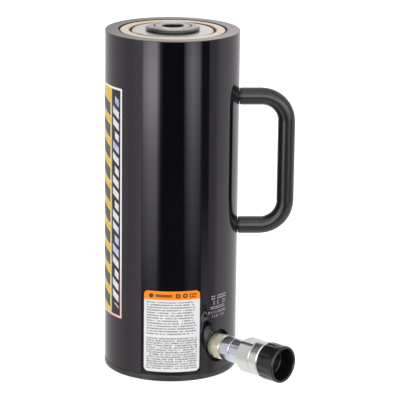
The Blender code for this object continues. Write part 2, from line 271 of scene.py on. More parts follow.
def hardcoat():
    """Black hard-anodised aluminium, turned, with a small laser-marked panel of plain strokes."""
    m, tree, shader = new_material("barrel_hardcoat", 0.12, 0.0, 1.58, specular_tint=(1.0, 0.95, 1.0))
    x, y, z = object_xyz(tree)
    fine = turning(tree, 3.2, 2.2)
    bands = turning(tree, 0.16, 0.35, 3.0)
    cloud = noise(tree, join(tree, x, y, z), 0.05, 4.0)
    base = blend_colour(tree, cloud, (0.0010, 0.0010, 0.0015), (0.0022, 0.0020, 0.0029))
    # the marked panel
    plan = math_node(tree, "ARCTAN2", x, y * -1.0) * (180.0 / math.pi)
    u = (plan - 33.5) * (BARREL_R * math.pi / 180.0)
    rows = ((61.6, 63.8, 2.0, 21.5, 1.25), (65.6, 67.9, -3.5, 22.5, 1.35), (70.0, 72.8, -0.5, 21.0, 1.6), (74.6, 78.0, -0.5, 22.5, 2.5), (79.9, 83.7, -1.0, 23.0, 2.6))
    marks = None
    for i, (lo, hi, u0, u1, cell) in enumerate(rows):
        run = white_noise(tree, (u / cell).floor(), float(i) + 0.5)
        stroke = z.within(lo, hi) * u.within(u0, u1) * run.above(0.30) * (u / cell).fract().below(0.72)
        split_line = (z - lo) / (hi - lo)
        stroke = stroke * (1.0 - split_line.within(0.36, 0.64))
        marks = stroke if marks is None else marks + stroke
    marks = clamped(marks)
    tree.links.new(blend_colour(tree, marks * 0.90, base, (0.34, 0.33, 0.34)), shader.inputs["Base Color"])
    # the spot face round the port is milled and dull
    along = (x - y) * math.sqrt(0.5)
    off = (x + y) * math.sqrt(0.5)
    from_port = math_node(tree, "SQRT", off * off + (z - 31.0) * (z - 31.0))
    depth_in = math_node(tree, "SQRT", x * x + y * y).below(BARREL_R - 0.08)
    milled = from_port.below(16.7) * along.above(40.0) * depth_in
    put(tree, clamped(0.046 + (fine - 0.5) * 0.04 + (bands - 0.5) * 0.05 + (cloud - 0.5) * 0.03 + marks * 0.4 + milled * 0.5, 0.025, 0.8), shader.inputs["Roughness"])
    bump(tree, shader, fine * 0.3 + bands * 2.2, 0.0035)
    return m


def plate_steel():
    return turned_metal("base_plate_black_oxide", (0.050, 0.054, 0.050), 0.34, 0.75, 3.0, 0.003, 0.10, 0.25,
                        tint=(0.085, 0.080, 0.070), tint_amount=0.5)


def chromate():
    """Yellow chromate over turned steel, with painted reflection: pale in front, a painted pinkish sheen on the right
    side, a painted yellower sheen on the left, and a painted deep orange reflection on the inner chamfer.
    """
    m, tree, shader = new_material("stop_ring_chromate_painted_reflection", 0.28, 1.0)
    x, y, z = object_xyz(tree)
    fine = turning(tree, 4.5, 1.2)
    coarse = turning(tree, 1.0, 0.9, 3.0)
    cloud = noise(tree, join(tree, x, y, z), 0.055, 4.0)
    r = math_node(tree, "SQRT", x * x + y * y)
    # painted reflection: the ring is tinted pinkish towards +X and yellower towards -X, a side-to-side sheen painted
    # into the colour
    col = blend_colour(tree, smooth(x, 14.0, 50.0), (0.84, 0.80, 0.60), (0.76, 0.61, 0.48))
    col = blend_colour(tree, smooth(x * -1.0, 10.0, 50.0) * 0.8, col, (0.82, 0.75, 0.50))
    col = blend_colour(tree, smooth(cloud, 0.45, 0.70) * 0.35, col, (0.86, 0.67, 0.40))
    col = blend_colour(tree, clamped(fine * 0.5 + coarse * 0.5) * 0.5, col, (0.62, 0.49, 0.28))
    # painted reflection: the inner chamfer is painted deep orange
    col = blend_colour(tree, 1.0 - smooth(r, 42.9, 43.4), col, (0.62, 0.31, 0.075))
    tree.links.new(col, shader.inputs["Base Color"])
    put(tree, clamped(0.27 + (fine - 0.5) * 0.14 + (cloud - 0.5) * 0.14, 0.05, 1.0), shader.inputs["Roughness"])
    bump(tree, shader, fine * 0.6 + coarse * 0.4, 0.004)
    return m


def blackened():
    """Black oxide on turned steel, worn brighter on the top face."""
    m, tree, shader = new_material("saddle_black_oxide", 0.20, 0.0, 1.60)
    x, y, z = object_xyz(tree)
    fine = turning(tree, 4.0, 1.2)
    cloud = noise(tree, join(tree, x, y, z), 0.09, 4.0)
    top = smooth(z, 340.45, 340.95)
    col = blend_colour(tree, cloud, (0.014, 0.014, 0.015), (0.024, 0.023, 0.023))
    col = blend_colour(tree, top, col, blend_colour(tree, fine, (0.32, 0.315, 0.30), (0.46, 0.44, 0.43)))
    tree.links.new(col, shader.inputs["Base Color"])
    put(tree, top * 0.85, shader.inputs["Metallic"])
    put(tree, clamped(0.18 + (fine - 0.5) * 0.08 + (cloud - 0.5) * 0.08 + top * 0.08, 0.05, 1.0), shader.inputs["Roughness"])
    bump(tree, shader, fine, 0.003)
    return m


def side_print():
    """A tall printed strip: a pale border, a dark band with slanted silver bars and a yellow band with dark ones."""
    m, tree, shader = new_material("side_strip_print", 0.45, 0.0, 1.40)
    shader.inputs["Specular IOR Level"].default_value = 0.35
    u, v = uv(tree)
    W, H = SIDE_W, SIDE_H
    x, y, z = object_xyz(tree)
    cloud = noise(tree, join(tree, x, y, z), 0.09, 3.0)
    grain = noise(tree, join(tree, x, y, z), 3.0, 2.0)
    dark = (0.020, 0.019, 0.021)
    yellow = blend_colour(tree, cloud, (0.66, 0.43, 0.040), (0.75, 0.50, 0.052))
    # silver bars on the dark band, in threes
    lean = v - u * 0.55
    step = 11.5
    place = (lean / step).fract()
    index = (lean / step).floor()
    third = ((index + 0.5) / 3.0).fract()
    reach = 14.7 - third.below(0.34) * 3.6
    bars = place.within(0.12, 0.74) * u.above(4.6) * u.below(reach) * lean.within(7.0, H - 14.0)
    hue = noise(tree, join(tree, 0.0, v * 0.022, 0.0), 1.0, 2.0)
    silver = blend_colour(tree, smooth(hue, 0.50, 0.64), (0.60, 0.61, 0.64), (0.17, 0.22, 0.58))
    silver = blend_colour(tree, (u * 0.5 + v * 0.11).fract().within(0.0, 0.42) * 0.40, silver, (0.88, 0.88, 0.90))
    left = blend_colour(tree, bars, dark, silver)
    # dark blocks on the yellow band, each with a pale line round it
    lean2 = v - (u - 17.0) * 0.30
    step2 = 21.5
    place2 = (lean2 / step2).fract() * step2
    tall = v.within(6.0, H - 10.0)
    inside = u.within(20.4, W - 6.0) * tall
    block = place2.within(5.2, 18.3) * inside
    outline = place2.within(4.3, 19.2) * u.within(19.6, W - 5.2) * v.within(5.2, H - 9.2)
    right = blend_colour(tree, outline, yellow, (0.78, 0.70, 0.52))
    right = blend_colour(tree, block, right, (0.075, 0.073, 0.066))
    colour = blend_colour(tree, u.above(17.0), left, right)
    edge = 1.0 - u.within(2.1, W - 2.1) * v.within(2.1, H - 2.1)
    pink = smooth(v, 70.0, 12.0)
    border = blend_colour(tree, pink * 0.75, (0.80, 0.79, 0.79), (0.86, 0.42, 0.38))
    tree.links.new(blend_colour(tree, edge, colour, border), shader.inputs["Base Color"])
    put(tree, clamped(0.44 + (cloud - 0.5) * 0.12, 0.05, 1.0), shader.inputs["Roughness"])
    bump(tree, shader, grain, 0.004)
    return m


def label_print():
    """A white label with an orange head: plain shapes in the head, rows of short strokes below."""
    m, tree, shader = new_material("front_label_print", 0.46, 0.0, 1.40)
    shader.inputs["Specular IOR Level"].default_value = 0.3
    u, v = uv(tree)
    W, H = LABEL_W, LABEL_H
    x, y, z = object_xyz(tree)
    cloud = noise(tree, join(tree, x, y, z), 0.10, 3.0)
    grain = noise(tree, join(tree, x, y, z), 4.0, 2.0)
    paper = blend_colour(tree, cloud, (0.62, 0.62, 0.615), (0.67, 0.67, 0.67))
    ink = (0.035, 0.035, 0.038)
    # upper rows, short words
    pitch, cell = 2.68, 0.95
    row = (v / pitch).floor()
    inrow = (v / pitch).fract()
    word = white_noise(tree, (u / cell).floor(), row, 1.5)
    ragged = u.below(W - 2.6 - white_noise(tree, row, 4.5) * 5.0)
    upper = inrow.within(0.22, 0.76) * word.above(0.13) * (u / cell).fract().below(0.80) * v.within(37.6, 71.5) * u.above(2.6) * ragged
    upper = upper * (0.60 + white_noise(tree, (u / 0.42).floor(), row, 6.5) * 0.40)
    # lower rows, denser and blockier
    pitch2, cell2 = 2.36, 1.30
    row2 = (v / pitch2).floor()
    inrow2 = (v / pitch2).fract()
    fill = white_noise(tree, (u / cell2).floor(), row2, 8.5)
    speck = white_noise(tree, (u / 0.36).floor(), (v / 0.42).floor(), 2.5)
    lower = inrow2.within(0.18, 0.80) * fill.above(0.10) * (u / cell2).fract().below(0.84) * v.within(3.0, 35.6) * u.within(2.6, W - 2.8)
    lower = lower * speck.above(0.30) * 0.94
    body = blend_colour(tree, clamped(upper * 0.92 + lower), paper, ink)
    # head
    head = v.above(H - 8.8)
    orange = blend_colour(tree, cloud, (0.88, 0.205, 0.003), (0.92, 0.240, 0.004))
    du0, dv = u - 7.4, v - (H - 4.7)
    dot = math_node(tree, "SQRT", du0 * du0 + dv * dv).below(2.3)
    bar = u.within(12.0, 28.4) * dv.abs().below(1.5) * (1.0 - (u / 2.3).fract().within(0.84, 1.0))
    du = u - 33.6
    sq1 = du.abs().below(2.3) * dv.abs().below(2.2) * (1.0 - du.abs().below(0.8) * dv.abs().below(0.7))
    dd = math_node(tree, "SQRT", (u - 40.8) * (u - 40.8) + dv * dv)
    ring = dd.within(0.9, 2.5)
    du2 = u - 48.6
    sq2 = du2.abs().below(3.4) * dv.abs().below(2.1) * (1.0 - du2.abs().within(0.5, 2.4) * dv.abs().below(1.1))
    shapes = clamped(dot + bar + sq1 + ring + sq2)
    headcol = blend_colour(tree, shapes * 0.94, orange, (0.050, 0.018, 0.008))
    colour = blend_colour(tree, head, body, headcol)
    tree.links.new(colour, shader.inputs["Base Color"])
    put(tree, clamped(0.40 + (cloud - 0.5) * 0.1, 0.05, 1.0), shader.inputs["Roughness"])
    bump(tree, shader, grain, 0.003)
    return m


SIDE_ARC = (-185.8, -139.0)   # plan angles, degrees from +X
SIDE_Z = (57.7, 287.7)
LABEL_ARC = (-115.0, -66.1)
LABEL_Z = (10.0, 92.4)
SKIN_R = BARREL_R + 0.12
SIDE_W = math.radians(SIDE_ARC[1] - SIDE_ARC[0]) * SKIN_R
SIDE_H = SIDE_Z[1] - SIDE_Z[0]
LABEL_W = math.radians(LABEL_ARC[1] - LABEL_ARC[0]) * SKIN_R
LABEL_H = LABEL_Z[1] - LABEL_Z[0]

M = {
    "hardcoat": hardcoat(),
    "plate": plate_steel(),
    "gold": chromate(),
    "ram": turned_metal("plunger_pale_anodised", (0.62, 0.63, 0.585), 0.26, 0.9, 4.0, 0.0018, 0.05, 0.10),
    "saddle": blackened(),
    "handle": moulded("handle_black_coat", (0.0085, 0.0087, 0.0092), 0.17, 2.4, 0.004, 1.52, 0.10, tone=0.15),
    "zinc": turned_metal("coupler_bright_zinc", (0.70, 0.755, 0.81), 0.17, 1.0, 5.0, 0.004, 0.12, 0.16,
                         tint=(0.62, 0.66, 0.72), tint_amount=0.6),
    "collar": turned_metal("coupler_collar_zinc", (0.75, 0.785, 0.73), 0.25, 1.0, 3.5, 0.005, 0.16, 0.18,
                           tint=(0.66, 0.67, 0.62), tint_amount=0.6),
    "olive": turned_metal("nipple_yellow_zinc", (0.82, 0.80, 0.63), 0.42, 0.6, 3.0, 0.005, 0.18, 0.22,
                          tint=(0.74, 0.67, 0.46), tint_amount=0.5),
    "cap": moulded("dust_cap_moulding", (0.0034, 0.0034, 0.0040), 0.19, 1.6, 0.006, 1.5, 0.14),
    "rubber": moulded("seal_black_rubber", (0.012, 0.012, 0.012), 0.62, 2.2, 0.02, 1.45, 0.2),
    "urethane": moulded("seal_blue_urethane", (0.035, 0.09, 0.26), 0.42, 1.5, 0.01, 1.5, 0.15),
    "bearing": moulded("bearing_brown_laminate", (0.20, 0.115, 0.055), 0.58, 3.5, 0.02, 1.5, 0.2),
    "spring": turned_metal("spring_oiled_steel", (0.20, 0.20, 0.21), 0.32, 1.0, 1.2, 0.004, 0.2, 0.3),
    "screw": turned_metal("screw_black_oxide", (0.050, 0.050, 0.053), 0.36, 0.8, 4.0, 0.004, 0.14, 0.3),
    "side": side_print(),
    "label": label_print(),
}

# ================================================================ mesh tools


def rounded(section, steps=4):
    """Fillets the corners of a section. Each point is (r, z) or (r, z, fillet radius)."""
    out = []
    count = len(section)
    for i, p in enumerate(section):
        r = p[2] if len(p) > 2 else 0.0
        here = Vector(p[:2])
        if r <= 0:
            out.append(tuple(here))
            continue
        a = Vector(section[i - 1][:2]) - here
        b = Vector(section[(i + 1) % count][:2]) - here
        la, lb = a.length, b.length
        a.normalize()
        b.normalize()
        half = math.acos(max(-1.0, min(1.0, a.dot(b)))) / 2
        if half > 1.55:
            out.append(tuple(here))
            continue
        t = min(r / math.tan(half), 0.46 * la, 0.46 * lb)
        rad = t * math.tan(half)
        centre = here + (a + b).normalized() * (rad / math.sin(half))
        start, end = here + a * t - centre, here + b * t - centre
        a0 = math.atan2(start.y, start.x)
        turn = math.atan2(end.y, end.x) - a0
        turn = (turn + math.pi) % math.tau - math.pi
        for k in range(steps + 1):
            ang = a0 + turn * k / steps
            out.append((centre.x + rad * math.cos(ang), centre.y + rad * math.sin(ang)))
    return out


def lathe_mesh(name, section, segments=192, steps=4, shape=None, extra=()):
    """Revolves a closed section about Z. shape(r, z, angle) may alter the radius."""
    points = rounded(section, steps)
    if all(p[0] > 1e-6 for p in points):
        closed = True
    else:
        closed = False
        while not (points[0][0] < 1e-6 and points[-1][0] < 1e-6):
            points = points[1:] + points[:1]
    bm = bmesh.new()
    rings = []
    for r, z in points:
        if r < 1e-6:
            rings.append([bm.verts.new((0, 0, z * MM))])
            continue
        ring = []
        for i in range(segments):
            a = math.tau * i / segments
            rr = shape(r, z, a) if shape else r
            ring.append(bm.verts.new((rr * math.cos(a) * MM, rr * math.sin(a) * MM, z * MM)))
        rings.append(ring)
    pairs = list(zip(rings, rings[1:])) + ([(rings[-1], rings[0])] if closed else [])
    for p, q in pairs:
        if len(p) == 1 and len(q) == 1:
            continue
        for i in range(segments):
            j = (i + 1) % segments
            if len(p) == 1:
                bm.faces.new((p[0], q[i], q[j]))
            elif len(q) == 1:
                bm.faces.new((p[i], q[0], p[j]))
            else:
                bm.faces.new((p[i], q[i], q[j], p[j]))
    bmesh.ops.recalc_face_normals(bm, faces=bm.faces)
    mesh = bpy.data.meshes.new(name)
    bm.to_mesh(mesh)
    bm.free()
    return mesh


def as_object(name, mesh, where=UPRIGHT):
    obj = bpy.data.objects.new(name, mesh)
    bpy.context.scene.collection.objects.link(obj)
    obj.matrix_world = where
    return obj


def cut(obj, cutters, operation="DIFFERENCE"):
    """Applies each cutter mesh, given in obj's own space, and removes it."""
    for mesh in cutters:
        tool = as_object("cutter", mesh, obj.matrix_world.copy())
        m = obj.modifiers.new("cut", "BOOLEAN")
        m.operation = operation
        m.solver = "EXACT"
        m.object = tool
        bpy.context.view_layer.update()
        done = bpy.data.meshes.new_from_object(obj.evaluated_get(bpy.context.evaluated_depsgraph_get()))
        obj.modifiers.clear()
        old = obj.data
        done.name = old.name
        obj.data = done
        bpy.data.meshes.remove(old)
        bpy.data.objects.remove(tool)
        bpy.data.meshes.remove(mesh)


def finish_shading(obj, angle=32.0, wall=None):
    """Smooth shading weighted by face size, with real corners kept sharp. wall is the radius of a
    cylinder about Z whose faces get exact radial normals."""
    mesh = obj.data
    bm = bmesh.new()
    bm.from_mesh(mesh)
    bmesh.ops.remove_doubles(bm, verts=bm.verts, dist=1e-7)
    bmesh.ops.dissolve_degenerate(bm, edges=bm.edges, dist=1e-8)
    bm.to_mesh(mesh)
    bm.free()
    mesh.shade_smooth()
    mesh.set_sharp_from_angle(angle=math.radians(angle))
    m = obj.modifiers.new("weighted", "WEIGHTED_NORMAL")
    m.mode = "FACE_AREA"
    m.weight = 50
    m.keep_sharp = True
    bpy.context.view_layer.update()
    done = bpy.data.meshes.new_from_object(obj.evaluated_get(bpy.context.evaluated_depsgraph_get()))
    obj.modifiers.clear()
    obj.data = done
    if wall:
        normals = [n.vector.copy() for n in done.corner_normals]
        for face in done.polygons:
            if abs(face.normal.z) > 0.02:
                continue
            if all(abs(math.hypot(*done.vertices[i].co[:2]) - wall * MM) < 4e-6 for i in face.vertices):
                for corner in face.loop_indices:
                    co = done.vertices[done.loops[corner].vertex_index].co
                    normals[corner] = Vector((co.x, co.y, 0)).normalized()
        done.normals_split_custom_set(normals)
    return obj


BODY_OF = {n: b for b, ns in frame["record"]["behaviour"]["bodies"].items() for n in ns}


def place(obj, material, *nodes, body=None):
    """Gives the piece its finish, and lets it stand for its CAD node."""
    obj.data.materials.clear()
    obj.data.materials.append(M[material])
    obj.data.name = obj.name
    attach(obj, body or BODY_OF[nodes[0]])
    if nodes:
        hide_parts(*nodes)
    return obj


def drill(name, radius, z0, z1, sides=48, move=None):
    mesh = lathe_mesh(name, [(0, z0), (radius, z0), (radius, z1), (0, z1)], sides)
    if move is not None:
        mesh.transform(move)
    return mesh


def hex_tube(name, corner, z0, z1, turn):
    mesh = lathe_mesh(name, [(corner, z0), (30, z0), (30, z1), (corner, z1)], 6)
    mesh.transform(Matrix.Rotation(math.radians(turn), 4, "Z"))
    return mesh


# ================================================================ barrel, plate and screws
barrel = as_object("barrel", lathe_mesh("barrel", [
    (6.2, 20.0), (47.5, 20.0, 1.2), (47.5, 292.0), (51.3, 292.0), (51.3, 334.6), (53.0, 335.2), (53.0, 338.0, 0.2), (65.5, 338.0, 0.6),
    (65.5, 300.0), (65.5, 52.0), (65.5, 10.0), (65.5, 6.3, 0.45), (0.0, 6.3), (0.0, 10.0), (6.2, 10.0),
], 288))
tools = [drill("spot", 16.5, 58.0, 80.0, 96, COUPLER), drill("port", 8.6, 40.0, 60.0, 48, COUPLER)]
for z in HANDLE_Z:
    tools.append(drill("socket", 5.3, 54.0, 72.0, 32, Matrix.Translation((0, 0, z * MM)) @ Matrix.Rotation(math.radians(90), 4, "Y")))
screw_places = [Matrix.Translation((0.05 * math.cos(a), 0.05 * math.sin(a), 0)) for a in (math.radians(45 + 90 * i) for i in range(4))]
for at in screw_places:
    tools.append(drill("tapped", 3.4, 2.0, 18.5, 24, at))
cut(barrel, tools)
finish_shading(barrel, 32, BARREL_R)
place(barrel, "hardcoat", "cylinder_body")

plate = as_object("base_plate_turned", lathe_mesh("plate", [
    (0, 0), (64.7, 0, 0.3), (65.5, 0.8, 0.5), (65.5, 5.3, 0.4), (64.9, 6.0, 0.1), (0, 6.0),
], 288))
sinks = []
for at in screw_places:
    sink = lathe_mesh("sink", [(0, -2), (6.7, -2), (6.7, 0.1), (3.5, 3.9), (3.5, 8), (0, 8)], 64)
    sink.transform(at)
    sinks.append(sink)
cut(plate, sinks)
finish_shading(plate, 32)
place(plate, "plate", "base_plate")

for i, at in enumerate(screw_places):
    screw = as_object(f"base_screw_turned_{i + 1}", lathe_mesh("screw", [
        (0, 0.5), (5.7, 0.5, 0.15), (5.7, 0.9), (3.0, 3.6, 0.3), (3.0, 16.8), (2.4, 17.6, 0.2), (0, 17.6),
    ], 64), at)
    key = lathe_mesh("key", [(0, -1.0), (2.31, -1.0), (2.31, 2.8), (0, 3.6)], 6)
    cut(screw, [key])
    finish_shading(screw, 32)
    place(screw, "screw", f"base_screw_{i + 1}")

# ================================================================ stop ring, wiper, plunger, saddle
ring = as_object("stop_ring_turned", lathe_mesh("ring", [
    (51.0, 292.3), (51.0, 337.7, 0.5), (43.2, 337.7, 0.15), (42.2, 336.9, 0.1), (42.2, 335.9), (43.6, 335.9), (43.6, 329.7),
    (40.6, 329.7), (40.6, 325.0), (42.2, 325.0), (42.2, 297.6), (40.6, 297.6), (40.6, 292.3),
], 256))
finish_shading(ring)
place(ring, "gold", "stop_ring")

wiper = as_object("rod_wiper_moulded", lathe_mesh("wiper", [
    (40.6, 330.2), (43.3, 330.2, 0.3), (43.3, 335.4, 0.3), (41.8, 335.4, 0.2), (41.8, 336.5, 0.3), (41.2, 337.0, 0.2), (40.3, 337.0, 0.15), (40.3, 333.0, 0.2),
], 256))
finish_shading(wiper)
place(wiper, "rubber", "rod_wiper")

plunger = as_object("plunger_turned", lathe_mesh("plunger", [
    (29.0, 20.3), (44.0, 20.3), (44.0, 42.0), (47.2, 43.5, 0.3), (47.2, 48.0, 0.2), (41.5, 48.0), (41.5, 58.0), (47.2, 58.0, 0.2),
    (47.2, 66.0, 0.2), (45.2, 66.0), (45.2, 86.0), (47.2, 86.0, 0.2), (47.2, 91.0), (46.2, 92.0, 0.3), (40.0, 92.0, 0.6),
    (40.0, 336.3, 0.4), (38.8, 337.5, 0.5), (16.2, 337.5), (15.8, 337.1), (15.8, 325.6), (0, 325.6), (0, 320.0), (6.2, 320.0), (6.2, 310.0), (29.0, 310.0),
], 256))
slots = []
for i in range(2):
    bar = lathe_mesh("slot", [(0, -60), (6.0, -60), (6.0, 60), (0, 60)], 4)
    bar.transform(Matrix.Translation((0, 0, 0.0195)) @ Euler((math.radians(90), 0, math.radians(45 + 90 * i))).to_matrix().to_4x4())
    slots.append(bar)
cut(plunger, slots)
finish_shading(plunger)
place(plunger, "ram", "plunger")

saddle = as_object("saddle_turned", lathe_mesh("saddle", [
    (10.8, 326.0), (14.8, 326.0, 0.2), (15.3, 326.5), (15.3, 330.6), (13.4, 330.6), (13.4, 333.6), (15.3, 333.6), (15.3, 337.8, 0.3),
    (24.9, 337.8, 0.3), (26.5, 338.8, 0.25), (26.5, 339.6, 0.25), (22.9, 341.6, 0.35), (18.9, 341.6, 0.15), (18.6, 340.3, 0.2), (17.3, 340.3, 0.2),
    (17.0, 341.6, 0.15), (11.5, 341.6, 0.2), (10.8, 340.9, 0.2),
], 256))
finish_shading(saddle)
place(saddle, "saddle", "saddle")

# ================================================================ handle


def handle_mesh():
    z0, z1 = HANDLE_Z
    x, b, rod = 112.5, 25.0, 8.5
    path = []  # centre point, direction, radius
    neck = [(65.85, 7.8), (66.5, 7.8), (66.6, 8.05), (66.9, 8.35), (67.4, rod), (70.0, rod), (76.0, rod), (82.0, rod)]
    for px, r in neck:
        path.append((px, z1, 1.0, 0.0, r))
    for i in range(29):
        a = math.radians(90 - 90 * i / 28)
        path.append((x - b + b * math.cos(a), z1 - b + b * math.sin(a), math.sin(a), -math.cos(a), rod))
    for k in range(1, 12):
        path.append((x, z1 - b + (z0 + b - z1 + b) * k / 12, 0.0, -1.0, rod))
    for i in range(29):
        a = math.radians(-90 * i / 28)
        path.append((x - b + b * math.cos(a), z0 + b + b * math.sin(a), math.sin(a), -math.cos(a), rod))
    for px, r in reversed(neck):
        path.append((px, z0, -1.0, 0.0, r))
    bm = bmesh.new()
    sides = 64
    rings = []
    for px, pz, dx, dz, r in path:
        across = (-dz, dx)  # in the handle's plane, square to the direction
        ring_ = []
        for s in range(sides):
            t = math.tau * s / sides
            bend = 1.0 if abs(dx) in (0.0, 1.0) else 0.985  # a bent bar is a touch flatter in its bends
            ring_.append(bm.verts.new((
                (px + across[0] * r * math.cos(t) * bend) * MM, r * math.sin(t) * MM, (pz + across[1] * r * math.cos(t) * bend) * MM)))
        rings.append(ring_)
    for p, q in zip(rings, rings[1:]):
        for s in range(sides):
            e = (s + 1) % sides
            bm.faces.new((p[s], q[s], q[e], p[e]))
    bm.faces.new(rings[0])
    bm.faces.new(rings[-1])
    bmesh.ops.recalc_face_normals(bm, faces=bm.faces)
    mesh = bpy.data.meshes.new("handle_bar")
    bm.to_mesh(mesh)
    bm.free()
    return mesh


handle = as_object("handle_bar", handle_mesh())
cut(handle, [drill("leg", 5.3, 60.0, 79.0, 32, Matrix.Translation((0, 0, z * MM)) @ Matrix.Rotation(math.radians(90), 4, "Y")) for z in HANDLE_Z])
finish_shading(handle)
place(handle, "handle", "handle")

# ================================================================ coupler
nipple = as_object("nipple_turned", lathe_mesh("nipple", [
    (4.5, 48.5), (7.4, 48.5), (8.3, 49.6), (8.3, 59.0), (7.6, 59.6), (7.6, 60.6), (11.2, 60.6, 0.2), (11.2, 67.0, 0.3),
    (11.9, 67.0, 0.1), (13.35, 68.1, 0.25), (13.35, 74.9, 0.25), (11.9, 76.0, 0.1), (8.3, 76.0), (8.3, 83.6), (7.6, 84.3), (4.5, 84.3),
], 192), COUPLER)
cut(nipple, [hex_tube("flats", 13.6, 66.0, 77.0, 13.0)])
finish_shading(nipple, 24)
place(nipple, "olive", "coupler_nipple")

rear = as_object("coupler_rear_turned", lathe_mesh("rear", [
    (5.0, 84.7), (8.6, 84.7), (8.6, 76.4), (11.5, 76.4, 0.2), (12.2, 77.1, 0.4), (12.2, 87.4, 0.12), (11.85, 87.7, 0.08), (11.85, 87.9, 0.05), (10.0, 87.9),
    (10.0, 95.5), (9.2, 96.2), (7.6, 96.2), (7.6, 92.0), (5.0, 92.0),
], 192), COUPLER)
finish_shading(rear)
place(rear, "zinc", "coupler_rear_body")

front = as_object("coupler_front_turned", lathe_mesh("front", [
    (10.3, 88.2), (11.85, 88.2, 0.05), (12.2, 88.6, 0.12), (12.2, 109.6, 0.1), (14.0, 109.6, 0.2), (14.0, 112.6, 0.2), (12.2, 112.6, 0.1),
    (12.2, 120.4, 0.3), (11.4, 121.2, 0.2), (5.0, 121.2, 0.15), (5.0, 118.4), (7.6, 115.8), (7.6, 96.6), (10.3, 96.6),
], 192), COUPLER)
finish_shading(front)
place(front, "zinc", "coupler_front_body")

poppet = as_object("coupler_poppet_turned", lathe_mesh("poppet", [
    (0, 106.0), (3.4, 106.0, 0.2), (3.4, 110.6), (6.9, 110.6, 0.1), (6.9, 111.4, 0.1), (5.6, 111.4), (5.6, 113.2), (6.9, 113.2, 0.1),
    (6.9, 115.4, 0.2), (4.4, 117.9, 0.2), (4.4, 120.4, 0.3), (3.4, 120.9, 0.2), (0, 120.9),
], 128), COUPLER)
finish_shading(poppet)
place(poppet, "zinc", "coupler_poppet")

collar = as_object("coupler_collar_turned", lathe_mesh("collar", [
    (12.6, 101.6, 0.15), (15.2, 101.6, 0.2), (17.25, 103.3, 0.3), (17.25, 118.0, 0.15), (16.9, 118.35, 0.1), (16.9, 118.9, 0.1), (17.25, 119.25, 0.15),
    (17.25, 127.7, 0.5), (16.5, 128.6, 0.2), (15.4, 128.6), (14.8, 127.9), (14.8, 114.0), (14.3, 113.5), (14.3, 109.2), (12.6, 109.2),
], 240), COUPLER)
cut(collar, [hex_tube("flats", 18.1, 101.0, 117.6, 33.0)])
finish_shading(collar, 24)
place(collar, "collar", "coupler_collar")

FLUTES = 16


def cap_shape(r, z, a):
    if r < 16.4 or z > 147.0 or z < 129.4:
        return r
    fade = max(0.0, min(1.0, (144.5 - z) / 6.0)) * max(0.0, min(1.0, (z - 129.4) / 1.2))
    wave = 0.5 - 0.5 * math.cos(a * FLUTES)
    return r - 0.5 * fade * wave ** 2.2


cap_section = [
    (12.7, 115.0), (14.0, 115.0, 0.2), (14.4, 115.5), (14.4, 129.0), (16.9, 129.0, 0.3), (18.1, 130.3, 0.6)]
cap_section += [(18.15, 131.0 + 1.0 * k) for k in range(15)]
cap_section += [(18.2, 146.4, 0.4), (18.2, 148.5, 0.8), (17.2, 149.3, 0.5), (15.9, 149.3, 0.45), (15.35, 148.3, 0.5),
                (14.7, 133.0, 1.2), (4.4, 132.5, 0.8), (2.7, 137.2, 0.8), (0, 137.6), (0, 129.4), (4.0, 129.0), (12.7, 129.0)]
cap = as_object("dust_cap_moulding", lathe_mesh("cap", cap_section, 320, 4, cap_shape), COUPLER)
webs = []
for i in range(3):
    web = bmesh.new()
    bmesh.ops.create_cube(web, size=1.0)
    for v in web.verts:
        taper = 0.55 if v.co.z > 0 and v.co.x > 0 else 1.0
        v.co = Vector(((v.co.x + 0.5) * 9.0 + 1.5, v.co.y * 1.5, (v.co.z + 0.5) * 3.6 * taper + 131.0)) * MM
    mesh = bpy.data.meshes.new("web")
    web.to_mesh(mesh)
    web.free()
    mesh.transform(Matrix.Rotation(math.radians(25 + 120 * i), 4, "Z"))
    webs.append(mesh)
cut(cap, webs, "UNION")
finish_shading(cap, 34)
place(cap, "cap", "dust_cap")

# ================================================================ springs


def coil_mesh(name, mean_r, z0, z1, turns, wire_r, closed, per_turn=36, sides=16):
    close = closed * wire_r * 2.12
    open_pitch = (z1 - z0 - 2 * close) / (turns - 2 * closed)
    bm = bmesh.new()
    rings = []
    for i in range(turns * per_turn + 1):
        t = i / per_turn
        if t < closed:
            z, rise = z0 + close * t / closed, close / closed
        elif t > turns - closed:
            z, rise = z1 - close * (turns - t) / closed, close / closed
        else:
            z, rise = z0 + close + open_pitch * (t - closed), open_pitch
        a = math.tau * t
        out = Vector((math.cos(a), math.sin(a), 0))
        along = Vector((-math.sin(a) * mean_r * math.tau, math.cos(a) * mean_r * math.tau, rise)).normalized()
        side = along.cross(out)
        centre = out * mean_r + Vector((0, 0, z))
        rings.append([bm.verts.new((centre + (out * math.cos(s) + side * math.sin(s)) * wire_r) * MM)
                      for s in (math.tau * k / sides for k in range(sides))])
    for p, q in zip(rings, rings[1:]):
        for s in range(sides):
            e = (s + 1) % sides
            bm.faces.new((p[s], p[e], q[e], q[s]))
    bm.faces.new(rings[0])
    bm.faces.new(rings[-1])
    bmesh.ops.recalc_face_normals(bm, faces=bm.faces)
    mesh = bpy.data.meshes.new(name)
    bm.to_mesh(mesh)
    bm.free()
    return mesh


spring = as_object("return_spring_coil", coil_mesh("return_spring_coil", 22.5, 27.6, 302.4, 26, 2.9, 2.0, 28, 12))
spring.data.materials.append(M["spring"])
finish_shading(spring, 50)
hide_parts("return_spring")
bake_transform(spring)

small = as_object("poppet_spring_coil", coil_mesh("poppet_spring_coil", 5.3, 93.0, 109.7, 6, 0.5, 1.0, 32, 12), COUPLER)
small.data.materials.append(M["spring"])
finish_shading(small, 50)
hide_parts("poppet_spring")
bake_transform(small)

# ================================================================ printed sheets


